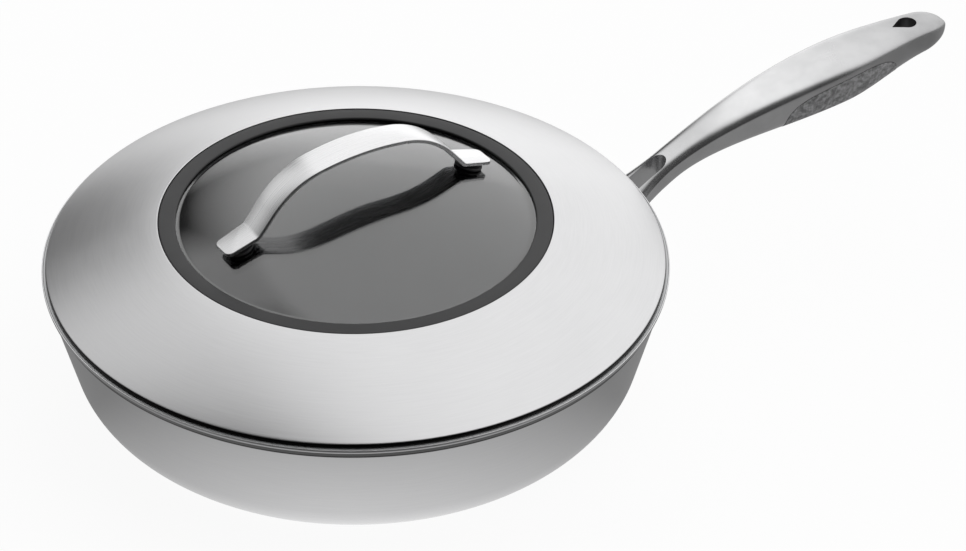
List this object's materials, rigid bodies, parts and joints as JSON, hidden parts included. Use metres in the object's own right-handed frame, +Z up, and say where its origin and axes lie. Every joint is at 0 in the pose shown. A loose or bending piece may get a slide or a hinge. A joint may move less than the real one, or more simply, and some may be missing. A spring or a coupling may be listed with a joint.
{
  "type": "saute pan with lid",
  "caption": "Shallow saute pan with rounded sloping sides, long riveted handle with a hang hole, and a lift-off steel lid with a domed glass window and a strap handle.",
  "frame": {"origin": "middle of the flat base, on the surface the pan stands on", "axes": "+X along the pan handle, away from the pan; +Z up"},
  "size_m": [0.4786, 0.29, 0.1285],
  "materials": {
    "satin_steel": "satin, finely brushed",
    "aluminium": "plain, inside the wall",
    "nonstick": "dark non-stick coat on steel",
    "silicone": "matt black silicone",
    "smoked_glass": "smoked, clear surface",
    "grip_rubber": "grey, textured"
  },
  "bodies": {
    "pan": {"outer_skin": "satin_steel", "aluminium_core": "aluminium", "inner_liner": "nonstick", "pan_handle": "satin_steel", "grip_insert": "grip_rubber", "handle_rivet_left": "satin_steel", "handle_rivet_right": "satin_steel", "handle_rivet_lower": "satin_steel"},
    "lid": {"lid_ring": "satin_steel", "glass_seal": "silicone", "lid_glass": "smoked_glass", "lid_handle": "satin_steel", "handle_spacer_left": "silicone", "upper_washer_left": "silicone", "lower_washer_left": "silicone", "steel_washer_left": "satin_steel", "lid_screw_left": "satin_steel", "handle_spacer_right": "silicone", "upper_washer_right": "silicone", "lower_washer_right": "silicone", "steel_washer_right": "satin_steel", "lid_screw_right": "satin_steel"}
  },
  "joints": [
    {"name": "lid_lift", "type": "slide", "parent": "pan", "child": "lid", "axis": [0, 0, 1], "range_m": [0, 0.15]}
  ]
}
